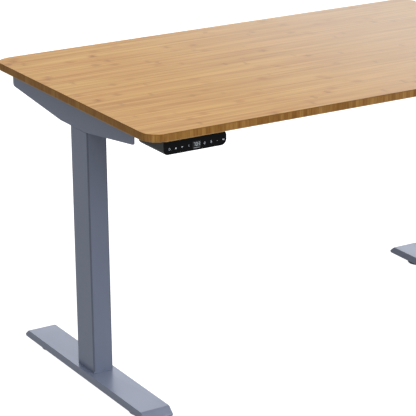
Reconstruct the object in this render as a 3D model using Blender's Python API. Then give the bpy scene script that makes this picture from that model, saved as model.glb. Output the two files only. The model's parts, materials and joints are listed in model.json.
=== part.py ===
"""Height adjustable standing desk: bamboo top on two three-stage lifting columns.

Metres, +Z up. The origin is on the floor under the middle of the desktop, +X runs along the
desktop to the sitter's right and -Y points at the sitter. The desk is modelled fully lowered.
"""

import math

import bmesh
import bpy
from mathutils import Matrix, Vector

# ---- driving dimensions ------------------------------------------------------------------
GAP = 0.0003  # between pieces that touch

TOP_W, TOP_D, TOP_T = 1.2192, 0.762, 0.018
TOP_Z = 0.697  # height of the working surface, fully lowered
TOP_CORNER = 0.040
TOP_ARRIS = 0.0015
UNDER_Z = TOP_Z - TOP_T

COLUMN_X = 0.5555  # column centre from the middle of the desk
WALL = 0.0015
STAGES = ((0.050, 0.080), (0.044, 0.074), (0.038, 0.068))  # outer, middle and inner tube
STAGE_CORNER = 0.003
STAGE_STEP = 0.003  # from the face of one tube to the face of the next
MOUTH_Z = 0.6130  # top of the outer tube
LIP_T = 0.0020  # the middle tube's bush covers the tube's cut edge
GUIDE_LOW_Z = 0.560
GUIDE_CORNER = 0.002
MIDDLE_LOW_Z, INNER_LOW_Z = 0.050, 0.060

FOOT_W, FOOT_H = 0.073, 0.020
FOOT_TOP_HALF, FOOT_HALF = 0.283, 0.302
FOOT_NOSE_H = 0.006  # height of the upright part of the nose
FOOT_ROUND, FOOT_RIM = 0.0025, 0.0018
FOOT_WALL = 0.0025
GLIDE_R, GLIDE_H, GLIDE_Y = 0.029, 0.010, 0.220
GLIDE_STUD_R = 0.004
FOOT_Z0 = GLIDE_H
FOOT_Z1 = FOOT_Z0 + FOOT_H
BASE_T = 0.004

PLATE_T = 0.0025  # side bracket steel
PLATE_X = COLUMN_X + STAGES[0][0] / 2  # its outer face is flush with the column
PLATE_LOW_Z = 0.6135  # over the column
PLATE_BACK, PLATE_FRONT = 0.3345, -0.2570
PLATE_BACK_Z, PLATE_FRONT_Z = 0.6392, 0.6420  # lower edge at the two ends
PLATE_BEND_BACK, PLATE_BEND_FRONT = 0.0890, -0.0300  # where the lower edge starts to rise
FLANGE_DEPTH = 0.012  # short enough to stay clear of the rails and the head bracket
WOOD_SCREW_HOLE_R = 0.0025

HEAD_Z = 0.6275
HEAD_T = 0.003
HEAD_HALF = 0.051
HEAD_X0, HEAD_X1 = 0.485, PLATE_X - PLATE_T - GAP

RAIL_W, RAIL_H, RAIL_T = 0.020, 0.030, 0.0015
RAIL_Y = HEAD_HALF + GAP + RAIL_W / 2
RAIL_X0 = 0.220
CENTRE_RAIL_HALF = 0.420
LOCK_X = 0.300

SCREW_R = 0.0045
HOLLOW_R, HOLLOW_BORE = 0.0075, 0.0053
PUSH_R, PUSH_BORE = 0.011, 0.009

GEARBOX_HALF_X, GEARBOX_HALF_Y, GEARBOX_H = 0.019, 0.036, 0.041
GEARBOX_WALL = 0.0025
DRIVE_Z = 0.6515
WHEEL_R, WHEEL_TEETH = 0.0142, 24
WORM_R, WORM_Y = 0.0060, 0.0207
MOTOR_R, MOTOR_LEN = 0.0200, 0.105

BOX_HALF_X, BOX_Y0, BOX_Y1, BOX_H = 0.120, -0.045, 0.030, 0.033
KEYPAD_X, KEYPAD_HALF = -0.4965, 0.0765
KEYPAD_Y0, KEYPAD_Y1, KEYPAD_Z0 = -0.3715, -0.2490, 0.6475
KEYPAD_ROUND_LEFT, KEYPAD_ROUND_RIGHT, KEYPAD_TOP_ROUND = 0.009, 0.012, 0.009
KEYPAD_WALL = 0.0025
KEYPAD_SLOPE, KEYPAD_SLOPE_H = 0.030, 0.011  # the sole rises towards the back
KEYPAD_GLASS_T = 0.002
KEYPAD_LEAD_Z = 0.664

MOTOR_LEAD_D, KEYPAD_LEAD_D = 0.005, 0.004
LEAD_Z = UNDER_Z - 0.0045  # where leads lie along the underside of the desktop

COLOURS = {
    "bamboo": ((0.62, 0.40, 0.20), 0.45, 0.0),
    "frame_paint": ((0.16, 0.17, 0.20), 0.50, 0.3),
    "steel": ((0.55, 0.55, 0.56), 0.35, 1.0),
    "nylon": ((0.13, 0.14, 0.16), 0.60, 0.0),
    "black_plastic": ((0.02, 0.02, 0.022), 0.45, 0.0),
    "gloss_black": ((0.01, 0.01, 0.012), 0.12, 0.0),
    "rubber": ((0.02, 0.02, 0.02), 0.80, 0.0),
    "circuit": ((0.02, 0.12, 0.05), 0.50, 0.0),
    "brass": ((0.70, 0.52, 0.22), 0.35, 1.0),
}


# ---- shared helpers ----------------------------------------------------------------------
def clear_scene():
    for item in list(bpy.data.objects):
        bpy.data.objects.remove(item)


def material(name):
    found = bpy.data.materials.get(name)
    if found:
        return found
    colour, roughness, metallic = COLOURS[name]
    made = bpy.data.materials.new(name)
    made.use_nodes = True
    shader = made.node_tree.nodes["Principled BSDF"]
    shader.inputs["Base Color"].default_value = (*colour, 1.0)
    shader.inputs["Roughness"].default_value = roughness
    shader.inputs["Metallic"].default_value = metallic
    made.diffuse_color = (*colour, 1.0)
    return made


def to_object(bm, name, finish, origin=(0.0, 0.0, 0.0)):
    """Turn a bmesh in world coordinates into an object whose origin is at origin."""
    bmesh.ops.recalc_face_normals(bm, faces=bm.faces)
    bmesh.ops.translate(bm, verts=bm.verts, vec=-Vector(origin))
    mesh = bpy.data.meshes.new(name)
    bm.to_mesh(mesh)
    bm.free()
    mesh.shade_smooth()
    mesh.set_sharp_from_angle(angle=math.radians(35))
    mesh.materials.append(material(finish))
    made = bpy.data.objects.new(name, mesh)
    made.location = origin
    bpy.context.collection.objects.link(made)
    return made


def rounded_rect(width, height, radius, steps, centre=(0.0, 0.0)):
    """Points of a rounded rectangle, anticlockwise, steps points to each quarter arc."""
    points = []
    for quarter, (sx, sy) in enumerate(((1, 1), (-1, 1), (-1, -1), (1, -1))):
        cx = centre[0] + sx * (width / 2 - radius)
        cy = centre[1] + sy * (height / 2 - radius)
        for step in range(steps):
            angle = math.pi / 2 * (quarter + step / (steps - 1))
            points.append((cx + radius * math.cos(angle), cy + radius * math.sin(angle)))
    return points


def circle(radius, steps, centre=(0.0, 0.0)):
    turn = 2 * math.pi / steps
    return [
        (centre[0] + radius * math.cos(turn * i), centre[1] + radius * math.sin(turn * i))
        for i in range(steps)
    ]


def corner_arcs(corners, steps=4):
    """An outline from (a, b, radius) corners, each rounded by an arc of that radius."""
    points = []
    for i, (a, b, radius) in enumerate(corners):
        here = Vector((a, b))
        before = (Vector(corners[i - 1][:2]) - here).normalized()
        after = (Vector(corners[(i + 1) % len(corners)][:2]) - here).normalized()
        if radius == 0:
            points.append((a, b))
            continue
        half = before.angle(after) / 2
        centre = here + (before + after).normalized() * (radius / math.sin(half))
        start = here + before * (radius / math.tan(half)) - centre
        end = here + after * (radius / math.tan(half)) - centre
        sweep = start.angle_signed(end)
        for step in range(steps):
            turned = start.copy()
            turned.rotate(Matrix.Rotation(-sweep * step / (steps - 1), 2))
            points.append(tuple(centre + turned))
    return points


def place(axis, along, point):
    """A world point from an outline point and a distance along axis."""
    a, b = point
    return {"X": (along, a, b), "Y": (a, along, b), "Z": (a, b, along)}[axis]


def loft(loops, closed_tube=False):
    """A bmesh that joins matching loops of world points, capped at the ends or closed on itself."""
    bm = bmesh.new()
    rings = [[bm.verts.new(point) for point in loop] for loop in loops]
    pairs = list(zip(rings, rings[1:]))
    if closed_tube:
        pairs.append((rings[-1], rings[0]))
    for low, high in pairs:
        for i in range(len(low)):
            j = (i + 1) % len(low)
            bm.faces.new((low[i], low[j], high[j], high[i]))
    if not closed_tube:
        bm.faces.new(rings[0][::-1])
        bm.faces.new(rings[-1])
    return bm


def prism_bm(outline, axis, start, end):
    return loft([[place(axis, at, point) for point in outline] for at in (start, end)])


def prism(name, finish, outline, axis, start, end):
    return to_object(prism_bm(outline, axis, start, end), name, finish)


def hollow(name, finish, outside, inside, axis, start, end):
    """A tube open at both ends, from matching outer and inner outlines."""
    loops = [
        [place(axis, start, p) for p in inside],
        [place(axis, start, p) for p in outside],
        [place(axis, end, p) for p in outside],
        [place(axis, end, p) for p in inside],
    ]
    return to_object(loft(loops, closed_tube=True), name, finish)


def turned_bm(profile, centre, axis="Z", steps=24):
    """A solid of revolution from (radius, distance along axis) pairs; it stands on centre."""
    cx, cy, cz = centre
    loops = []
    for radius, along in profile:
        ring = circle(radius, steps)
        if axis == "Z":
            loops.append([(cx + a, cy + b, cz + along) for a, b in ring])
        else:
            loops.append([(cx + along, cy + a, cz + b) for a, b in ring])
    return loft(loops)


def turned(name, finish, profile, centre, axis="Z", steps=24):
    return to_object(turned_bm(profile, centre, axis, steps), name, finish, centre)


def box_bm(low, high):
    return prism_bm(
        [(low[0], low[1]), (high[0], low[1]), (high[0], high[1]), (low[0], high[1])],
        "Z", low[2], high[2],
    )


def box(name, finish, low, high):
    return to_object(box_bm(low, high), name, finish)


def span(side, inner, outer):
    """Low and high X of a stretch given by its distances from the middle of the desk."""
    return tuple(sorted((side * inner, side * outer)))


def boolean(target, bm, operation):
    """Cut a closed bmesh out of target, or join it on, and keep only the result."""
    tool = to_object(bm, "tool", "steel")
    step = target.modifiers.new("step", "BOOLEAN")
    step.object = tool
    step.operation = operation
    step.solver = "EXACT"
    bpy.context.view_layer.update()
    evaluated = target.evaluated_get(bpy.context.evaluated_depsgraph_get())
    result = bpy.data.meshes.new_from_object(evaluated)
    target.modifiers.clear()
    old = target.data
    target.data = result
    result.name = target.name
    bpy.data.meshes.remove(old)
    bpy.data.objects.remove(tool)


def cut(target, *tools):
    for bm in tools:
        boolean(target, bm, "DIFFERENCE")


def join(target, *tools):
    for bm in tools:
        boolean(target, bm, "UNION")


def bevel_edges(bm, wanted, width, segments=2):
    edges = [edge for edge in bm.edges if wanted(edge)]
    bmesh.ops.bevel(
        bm, geom=edges, offset=width, segments=segments, profile=0.5, affect="EDGES",
        clamp_overlap=True,
    )


def level(edge, z):
    return all(abs(vert.co.z - z) < 1e-6 for vert in edge.verts)


# ---- desktop and side brackets -----------------------------------------------------------
def make_desktop():
    bm = prism_bm(rounded_rect(TOP_W, TOP_D, TOP_CORNER, 9), "Z", UNDER_Z, TOP_Z)
    bevel_edges(bm, lambda e: level(e, UNDER_Z) or level(e, TOP_Z), TOP_ARRIS)
    to_object(bm, "desktop", "bamboo")


def make_side_bracket(side, label):
    """An upright plate flush with the column, with a flange that screws up into the desktop."""
    top = UNDER_Z - GAP
    outline = corner_arcs([
        (PLATE_FRONT, top, 0), (PLATE_FRONT, PLATE_FRONT_Z, 0.006),
        (PLATE_BEND_FRONT, PLATE_LOW_Z, 0.010), (PLATE_BEND_BACK, PLATE_LOW_Z, 0.020),
        (PLATE_BACK, PLATE_BACK_Z, 0.007), (PLATE_BACK, top, 0),
    ])
    low_x, high_x = span(side, PLATE_X - PLATE_T, PLATE_X)
    bracket = prism(f"side_bracket_{label}", "frame_paint", outline, "X", low_x, high_x)
    x0, x1 = span(side, PLATE_X - PLATE_T / 2, PLATE_X + FLANGE_DEPTH)
    mid_y = (PLATE_BACK + PLATE_FRONT) / 2
    length = PLATE_BACK - PLATE_FRONT
    flange = rounded_rect(x1 - x0, length, 0.003, 3, ((x0 + x1) / 2, mid_y))
    join(bracket, prism_bm(flange, "Z", top - PLATE_T, top))
    hole_x = side * (PLATE_X + FLANGE_DEPTH / 2)
    for hole_y in (PLATE_FRONT + 0.030, PLATE_BACK - 0.030):
        hole = circle(WOOD_SCREW_HOLE_R, 12, (hole_x, hole_y))
        cut(bracket, prism_bm(hole, "Z", top - 2 * PLATE_T, top + PLATE_T))


# ---- cross frame under the desktop -------------------------------------------------------
def make_head_bracket(side, label):
    """A U of folded plate: the column hangs under it, the gearbox and motor sit in it."""
    top, low, inner = UNDER_Z - GAP, HEAD_Z + HEAD_T, HEAD_HALF - HEAD_T
    outline = corner_arcs([
        (-HEAD_HALF, top, 0), (-HEAD_HALF, HEAD_Z, 0.005), (HEAD_HALF, HEAD_Z, 0.005),
        (HEAD_HALF, top, 0), (inner, top, 0), (inner, low, 0.002), (-inner, low, 0.002),
        (-inner, top, 0),
    ])
    x0, x1 = span(side, HEAD_X0, HEAD_X1)
    bracket = prism(f"head_bracket_{label}", "frame_paint", outline, "X", x0, x1)
    hole = circle(0.009, 20, (side * COLUMN_X, 0.0))
    cut(bracket, prism_bm(hole, "Z", HEAD_Z - 0.01, HEAD_Z + 0.01))


def rail_outlines(width, height, centre):
    outside = rounded_rect(width, height, 0.0025, 3, centre)
    inside = rounded_rect(width - 2 * RAIL_T, height - 2 * RAIL_T, 0.0010, 3, centre)
    return outside, inside


def make_rails(row, sign):
    """One left rail, one right rail, and the centre rail that joins them by sliding inside."""
    centre = (sign * RAIL_Y, UNDER_Z - GAP - RAIL_H / 2)
    bottom = centre[1] - RAIL_H / 2
    outside, inside = rail_outlines(RAIL_W, RAIL_H, centre)
    clearance = 2 * (RAIL_T + GAP)
    for label, side in (("left", -1), ("right", 1)):
        x0, x1 = span(side, RAIL_X0, HEAD_X1)
        rail = hollow(f"{row}_rail_{label}", "frame_paint", outside, inside, "X", x0, x1)
        hole = circle(0.0034, 12, (side * LOCK_X, sign * RAIL_Y))
        cut(rail, prism_bm(hole, "Z", bottom - 0.01, bottom + 0.004))
        make_lock_screw(f"lock_screw_{row}_{label}", side * LOCK_X, sign * RAIL_Y, bottom)
    slim_out, slim_in = rail_outlines(RAIL_W - clearance, RAIL_H - clearance, centre)
    middle = hollow(
        f"{row}_centre_rail", "steel", slim_out, slim_in, "X", -CENTRE_RAIL_HALF, CENTRE_RAIL_HALF
    )
    for side in (-1, 1):
        slot = rounded_rect(0.080, 0.0068, 0.0033, 5, (side * LOCK_X, sign * RAIL_Y))
        cut(middle, prism_bm(slot, "Z", bottom - 0.01, bottom + 0.006))


def make_lock_screw(name, x, y, rail_bottom):
    """A hexagon-socket screw that clamps a rail to the centre rail."""
    head = rail_bottom - GAP
    profile = [
        (0.0045, -0.0045), (0.0055, -0.0040), (0.0055, 0.0), (0.0029, 0.0), (0.0029, 0.009),
    ]
    screw = turned(name, "steel", profile, (x, y, head), steps=16)
    socket = circle(0.0023, 6, (x, y))
    cut(screw, prism_bm(socket, "Z", head - 0.006, head - 0.002))


# ---- lifting columns ---------------------------------------------------------------------
def tube_outline(x, stage, inset):
    """The outline of one tube of the column, or of something a little inside it."""
    width, depth = STAGES[stage]
    smallest = STAGE_CORNER - WALL if inset == WALL else GUIDE_CORNER
    radius = STAGE_CORNER if inset == 0 else max(STAGE_CORNER - inset, smallest)
    return rounded_rect(width - 2 * inset, depth - 2 * inset, radius, 6, (x, 0.0))


def make_columns(side, label):
    x = side * COLUMN_X
    lows = (FOOT_Z1 + GAP + BASE_T + GAP, MIDDLE_LOW_Z, INNER_LOW_Z)
    tops = (MOUTH_Z, MOUTH_Z - LIP_T - GAP, HEAD_Z - GAP)
    for stage, stage_name in enumerate(("outer", "middle", "inner")):
        outside, bore = tube_outline(x, stage, 0), tube_outline(x, stage, WALL)
        name = f"{stage_name}_column_{label}"
        hollow(name, "frame_paint", outside, bore, "Z", lows[stage], tops[stage])


def make_guides(side, label):
    """Slide bushes in the mouths of the outer and the middle tube."""
    x = side * COLUMN_X
    sleeve_out = tube_outline(x, 0, WALL + GAP)
    sleeve_in = tube_outline(x, 0, STAGE_STEP - GAP)
    hollow(f"outer_guide_{label}", "nylon", sleeve_out, sleeve_in, "Z", GUIDE_LOW_Z, MOUTH_Z)

    body_out, body_in = tube_outline(x, 1, WALL + GAP), tube_outline(x, 1, STAGE_STEP - GAP)
    lip_out, lip_low = tube_outline(x, 1, GAP), MOUTH_Z - LIP_T
    loops = [
        [place("Z", GUIDE_LOW_Z, p) for p in body_in],
        [place("Z", GUIDE_LOW_Z, p) for p in body_out],
        [place("Z", lip_low, p) for p in body_out],
        [place("Z", lip_low, p) for p in lip_out],
        [place("Z", MOUTH_Z, p) for p in lip_out],
        [place("Z", MOUTH_Z, p) for p in body_in],
    ]
    to_object(loft(loops, closed_tube=True), f"middle_guide_{label}", "nylon")


def make_drive(side, label):
    """Telescopic screw: the lead screw turns in a hollow screw, which turns in a push tube."""
    x = side * COLUMN_X
    base = FOOT_Z1 + 2 * GAP + BASE_T
    hollow(
        f"push_tube_{label}", "steel", circle(PUSH_R, 20, (x, 0.0)),
        circle(PUSH_BORE, 20, (x, 0.0)), "Z", base, 0.570,
    )
    hollow(
        f"hollow_screw_{label}", "steel", circle(HOLLOW_R, 20, (x, 0.0)),
        circle(HOLLOW_BORE, 20, (x, 0.0)), "Z", 0.070, 0.600,
    )
    wheel_low = DRIVE_Z - 0.005
    profile = [
        (0.0035, 0.0), (SCREW_R, 0.001), (SCREW_R, wheel_low - 0.062 - GAP),
        (0.0032, wheel_low - 0.062 - GAP), (0.0032, wheel_low - 0.062 + 0.014),
    ]
    turned(f"lead_screw_{label}", "steel", profile, (x, 0.0, 0.062), steps=20)
    teeth = []
    for i in range(WHEEL_TEETH):
        turn = 2 * math.pi / WHEEL_TEETH
        for share, radius in ((0.0, 0.90), (0.25, 0.90), (0.40, 1.0), (0.65, 1.0)):
            angle = turn * (i + share)
            reach = WHEEL_R * radius
            teeth.append((x + reach * math.cos(angle), reach * math.sin(angle)))
    wheel = prism(f"worm_wheel_{label}", "brass", teeth, "Z", wheel_low, wheel_low + 0.010)
    bore = circle(0.0032 + GAP, 20, (x, 0.0))
    cut(wheel, prism_bm(bore, "Z", wheel_low - 0.01, wheel_low + 0.02))


def make_gearbox_and_motor(side, label):
    x = side * COLUMN_X
    low = HEAD_Z + HEAD_T + GAP
    top = low + GEARBOX_H
    outline = rounded_rect(2 * GEARBOX_HALF_X, 2 * GEARBOX_HALF_Y, 0.004, 4, (x, 0.0))
    housing = prism(f"gearbox_{label}", "black_plastic", outline, "Z", low, top)
    room = rounded_rect(
        2 * (GEARBOX_HALF_X - GEARBOX_WALL), 2 * (GEARBOX_HALF_Y - GEARBOX_WALL), 0.002, 4, (x, 0)
    )
    cut(housing, prism_bm(room, "Z", low - 0.01, top - GEARBOX_WALL))
    wall_x = COLUMN_X - GEARBOX_HALF_X
    shaft_hole = circle(0.0040, 16, (WORM_Y, DRIVE_Z))
    cut(housing, prism_bm(shaft_hole, "X", side * (wall_x - 0.004), side * (wall_x + 0.004)))

    motor_start = wall_x - GAP
    end = -side * MOTOR_LEN
    steps = -side
    profile = [
        (MOTOR_R - 0.002, 0.0), (MOTOR_R, steps * 0.002), (MOTOR_R, end - steps * 0.012),
        (MOTOR_R - 0.002, end - steps * 0.010), (MOTOR_R - 0.002, end - steps * 0.002),
        (MOTOR_R - 0.004, end),
    ]
    centre = (side * motor_start, WORM_Y, DRIVE_Z)
    motor = turned(f"motor_{label}", "steel", profile, centre, axis="X", steps=24)
    bore = circle(0.0036, 16, (WORM_Y, DRIVE_Z))
    bore_end = motor_start - 0.022
    cut(motor, prism_bm(bore, "X", side * bore_end, side * (motor_start + 0.002)))

    worm_x = x + side * 0.0150
    reach = 2 * 0.0150
    shaft = [(0.0025, 0.0), (WORM_R, -side * 0.002)]
    for groove in range(5):
        start = 0.002 + groove * 0.0050
        shaft.append((WORM_R, -side * (start + 0.0016)))
        shaft.append((WORM_R - 0.0016, -side * (start + 0.0030)))
        shaft.append((WORM_R, -side * (start + 0.0046)))
    shaft.append((0.0030, -side * reach))
    shaft.append((0.0030, -side * (reach + 0.022)))
    turned(f"worm_shaft_{label}", "steel", shaft, (worm_x, WORM_Y, DRIVE_Z), axis="X", steps=12)


# ---- feet --------------------------------------------------------------------------------
def make_foot(side, label):
    """A welded steel foot: hollow, open in the middle of its sole, with a bevelled nose."""
    x = side * COLUMN_X

    def profile(inset):
        top, low = FOOT_Z1 - inset, FOOT_Z0 + inset
        rise = FOOT_Z0 + FOOT_NOSE_H
        radius = FOOT_ROUND if inset == 0 else 0
        corners = [
            (-FOOT_HALF + 0.003 + inset, low, radius), (FOOT_HALF - 0.003 - inset, low, radius),
            (FOOT_HALF - inset, rise, radius), (FOOT_TOP_HALF - inset, top, radius * 1.6),
            (-FOOT_TOP_HALF + inset, top, radius * 1.6), (-FOOT_HALF + inset, rise, radius),
        ]
        return corner_arcs(corners, 3)

    half = FOOT_W / 2
    bm = prism_bm(profile(0), "X", x - half, x + half)
    rim = [edge for edge in bm.edges if abs(edge.verts[0].co.x - edge.verts[1].co.x) < 1e-6]
    bmesh.ops.bevel(bm, geom=rim, offset=FOOT_RIM, segments=2, profile=0.5, affect="EDGES")
    foot = to_object(bm, f"foot_{label}", "frame_paint")
    inner = half - FOOT_WALL
    cut(foot, prism_bm(profile(FOOT_WALL), "X", x - inner, x + inner))
    mouth = rounded_rect(0.044, 0.300, 0.008, 4, (x, 0.0))
    cut(foot, prism_bm(mouth, "Z", FOOT_Z0 - 0.01, FOOT_Z0 + FOOT_WALL + 0.002))
    for sign in (-1, 1):
        hole = circle(GLIDE_STUD_R + 0.0005, 16, (x, sign * GLIDE_Y))
        cut(foot, prism_bm(hole, "Z", FOOT_Z0 - 0.01, FOOT_Z0 + FOOT_WALL + 0.002))

    base, plate_low = tube_outline(x, 0, 0), FOOT_Z1 + GAP
    prism(f"base_plate_{label}", "frame_paint", base, "Z", plate_low, plate_low + BASE_T)


def make_glide(side, label, sign, row):
    """A levelling glide: a wide rubber-faced disc on a threaded stud."""
    top = GLIDE_H - GAP
    profile = [
        (GLIDE_R - 0.0025, 0.0), (GLIDE_R - 0.0006, 0.0010), (GLIDE_R, 0.0028),
        (GLIDE_R, top - 0.0018), (GLIDE_R - 0.0016, top), (GLIDE_STUD_R, top),
        (GLIDE_STUD_R, 0.0225), (GLIDE_STUD_R - 0.0008, 0.0235),
    ]
    centre = (side * COLUMN_X, sign * GLIDE_Y, 0.0)
    turned(f"glide_{row}_{label}", "rubber", profile, centre, steps=28)


# ---- control box -------------------------------------------------------------------------
def make_control_box():
    top = UNDER_Z - GAP
    plate_low = top - 0.0015
    mid_y = (BOX_Y0 + BOX_Y1) / 2
    depth = BOX_Y1 - BOX_Y0
    base = rounded_rect(2 * (BOX_HALF_X + 0.016), depth, 0.004, 4, (0.0, mid_y))
    plate = prism("control_box_base", "steel", base, "Z", plate_low, top)
    for hole_x in (-BOX_HALF_X - 0.009, BOX_HALF_X + 0.009):
        for hole_y in (BOX_Y0 + 0.010, BOX_Y1 - 0.010):
            hole = circle(0.0025, 12, (hole_x, hole_y))
            cut(plate, prism_bm(hole, "Z", plate_low - 0.01, top + 0.01))

    low, high = plate_low - GAP - BOX_H, plate_low - GAP
    bm = prism_bm(rounded_rect(2 * BOX_HALF_X, depth, 0.005, 4, (0, mid_y)), "Z", low, high)
    bevel_edges(bm, lambda e: level(e, low), 0.003)
    cover = to_object(bm, "control_box_cover", "black_plastic")
    room = rounded_rect(2 * BOX_HALF_X - 0.005, depth - 0.005, 0.003, 4, (0.0, mid_y))
    cut(cover, prism_bm(room, "Z", low + 0.0025, high + 0.01))

    board_z = low + 0.008
    box("control_board", "circuit", (-0.108, BOX_Y0 + 0.006, board_z),
        (0.108, BOX_Y1 - 0.006, board_z + 0.0016))

    socket_low, socket_high = low + 0.006, low + 0.024
    box("socket_block", "black_plastic", (-BOX_HALF_X - 0.007, BOX_Y0 + 0.006, socket_low),
        (-BOX_HALF_X - GAP, BOX_Y1 - 0.006, socket_high))
    make_power_inlet(low)
    return low


def make_power_inlet(box_low):
    """A three-pin mains inlet: a shrouded recess with its two upper corners cut."""
    face, deep = BOX_HALF_X + GAP, 0.014
    mid_y, mid_z = 0.5 * (BOX_Y0 + BOX_Y1), box_low + 0.0155
    body = rounded_rect(0.034, 0.026, 0.003, 4, (mid_y, mid_z))
    inlet = prism("power_inlet", "black_plastic", body, "X", face, face + deep)
    half_w, half_h, chamfer = 0.0122, 0.0082, 0.004
    room = [
        (mid_y - half_w, mid_z - half_h), (mid_y + half_w, mid_z - half_h),
        (mid_y + half_w, mid_z + half_h - chamfer), (mid_y + half_w - chamfer, mid_z + half_h),
        (mid_y - half_w + chamfer, mid_z + half_h), (mid_y - half_w, mid_z + half_h - chamfer),
    ]
    cut(inlet, prism_bm(room, "X", face + 0.002, face + deep + 0.01))


# ---- keypad ------------------------------------------------------------------------------
def make_keypad():
    """A hollow moulding under the desktop's edge, closed by a glass face towards the sitter."""
    top = UNDER_Z - GAP
    x0, x1 = KEYPAD_X - KEYPAD_HALF, KEYPAD_X + KEYPAD_HALF
    face = corner_arcs([
        (x0, top, 0.002), (x0, KEYPAD_Z0, KEYPAD_ROUND_LEFT),
        (x1, KEYPAD_Z0, KEYPAD_ROUND_RIGHT), (x1, top, KEYPAD_TOP_ROUND),
    ], 6)
    housing = prism("keypad_housing", "black_plastic", face, "Y", KEYPAD_Y0, KEYPAD_Y1)
    plan = corner_arcs([
        (x0 - GAP, KEYPAD_Y0 - GAP, 0), (x1 + GAP, KEYPAD_Y0 - GAP, 0),
        (x1 + GAP, KEYPAD_Y1 - 0.020, 0.010), (x1 - 0.008, KEYPAD_Y1 - GAP, 0.005),
        (x0 + 0.008, KEYPAD_Y1 - GAP, 0.005), (x0 - GAP, KEYPAD_Y1 - 0.020, 0.010),
    ], 4)
    boolean(housing, prism_bm(plan, "Z", KEYPAD_Z0 - 0.01, top + 0.01), "INTERSECT")
    slope = [
        (KEYPAD_Y1 - KEYPAD_SLOPE, KEYPAD_Z0), (KEYPAD_Y1, KEYPAD_Z0 + KEYPAD_SLOPE_H),
        (KEYPAD_Y1 + 0.01, KEYPAD_Z0 + KEYPAD_SLOPE_H), (KEYPAD_Y1 + 0.01, KEYPAD_Z0 - 0.01),
        (KEYPAD_Y1 - KEYPAD_SLOPE, KEYPAD_Z0 - 0.01),
    ]
    cut(housing, prism_bm(slope, "X", x0 - 0.01, x1 + 0.01))
    room_y0, room_y1 = KEYPAD_Y0 + KEYPAD_WALL, KEYPAD_Y1 - KEYPAD_SLOPE
    room_x0, room_x1 = x0 + KEYPAD_ROUND_LEFT / 2, x1 - KEYPAD_TOP_ROUND - KEYPAD_WALL / 2
    room = rounded_rect(
        room_x1 - room_x0, room_y1 - room_y0, 0.002, 3,
        ((room_x0 + room_x1) / 2, (room_y0 + room_y1) / 2),
    )
    cut(housing, prism_bm(room, "Z", KEYPAD_Z0 + KEYPAD_WALL, top + 0.01))

    front = KEYPAD_Y0 - GAP - KEYPAD_GLASS_T
    bm = prism_bm(face, "Y", front, KEYPAD_Y0 - GAP)
    bevel_edges(bm, lambda e: all(abs(v.co.y - front) < 1e-6 for v in e.verts), 0.0006)
    to_object(bm, "keypad_glass", "gloss_black")
    board_y = KEYPAD_Y0 + KEYPAD_WALL + 0.0030
    box("keypad_board", "circuit", (room_x0 + 0.006, board_y, KEYPAD_Z0 + KEYPAD_WALL + 0.002),
        (room_x1 - 0.006, board_y + 0.0016, top - 0.004))


# ---- leads that stay inside the frame ----------------------------------------------------
def smooth_route(points, per_span):
    """Points along a Catmull-Rom curve through the route."""
    route = [Vector(point) for point in points]
    padded = [2 * route[0] - route[1], *route, 2 * route[-1] - route[-2]]
    walked = []
    for i in range(1, len(padded) - 2):
        a, b, c, d = padded[i - 1:i + 3]
        for step in range(per_span):
            t = step / per_span
            walked.append(0.5 * (
                2 * b + (c - a) * t + (2 * a - 5 * b + 4 * c - d) * t**2
                + (3 * b - a - 3 * c + d) * t**3
            ))
    walked.append(route[-1])
    return walked


def make_lead(name, points, diameter):
    curve = bpy.data.curves.new(name, "CURVE")
    curve.dimensions = "3D"
    curve.bevel_depth = diameter / 2
    curve.bevel_resolution = 2
    curve.use_fill_caps = True
    walked = smooth_route(points, 3)
    line = curve.splines.new("POLY")
    line.points.add(len(walked) - 1)
    for point, at in zip(line.points, walked):
        point.co = (*at, 1.0)
    curve.materials.append(material("black_plastic"))
    made = bpy.data.objects.new(name, curve)
    bpy.context.collection.objects.link(made)


def make_leads(box_low):
    socket_x = -BOX_HALF_X - 0.007 - GAP
    socket_z = box_low + 0.015
    motor_end = COLUMN_X - GEARBOX_HALF_X - GAP - MOTOR_LEN - GAP
    under_rail = UNDER_Z - GAP - RAIL_H - KEYPAD_LEAD_D
    make_lead("motor_lead_left", [
        (-motor_end, WORM_Y, DRIVE_Z), (-0.412, WORM_Y, DRIVE_Z), (-0.385, 0.018, 0.664),
        (-0.350, 0.012, LEAD_Z), (-0.290, 0.003, LEAD_Z), (-0.230, -0.004, LEAD_Z),
        (-0.185, -0.010, 0.672), (-0.155, -0.014, socket_z), (socket_x, -0.014, socket_z),
    ], MOTOR_LEAD_D)
    make_lead("motor_lead_right", [
        (motor_end, WORM_Y, DRIVE_Z), (0.412, WORM_Y, DRIVE_Z), (0.380, 0.024, 0.664),
        (0.340, 0.030, LEAD_Z), (0.250, 0.037, LEAD_Z), (0.160, 0.040, LEAD_Z),
        (0.040, 0.040, LEAD_Z), (-0.080, 0.040, LEAD_Z), (-0.130, 0.040, LEAD_Z),
        (-0.158, 0.035, 0.672), (-0.172, 0.022, 0.664), (-0.162, 0.009, socket_z),
        (-0.145, 0.004, socket_z), (socket_x, 0.004, socket_z),
    ], MOTOR_LEAD_D)
    make_lead("keypad_lead", [
        (KEYPAD_X, KEYPAD_Y1 + GAP, KEYPAD_LEAD_Z), (KEYPAD_X, KEYPAD_Y1 + 0.016, KEYPAD_LEAD_Z),
        (-0.490, -0.205, LEAD_Z), (-0.472, -0.150, LEAD_Z), (-0.445, -0.115, 0.672),
        (-0.416, -0.092, 0.656), (-0.386, -0.072, under_rail), (-0.352, -0.056, under_rail),
        (-0.318, -0.044, 0.654), (-0.285, -0.037, 0.668), (-0.240, -0.033, LEAD_Z),
        (-0.200, -0.032, 0.673), (-0.158, -0.032, socket_z), (socket_x, -0.032, socket_z),
    ], KEYPAD_LEAD_D)


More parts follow.
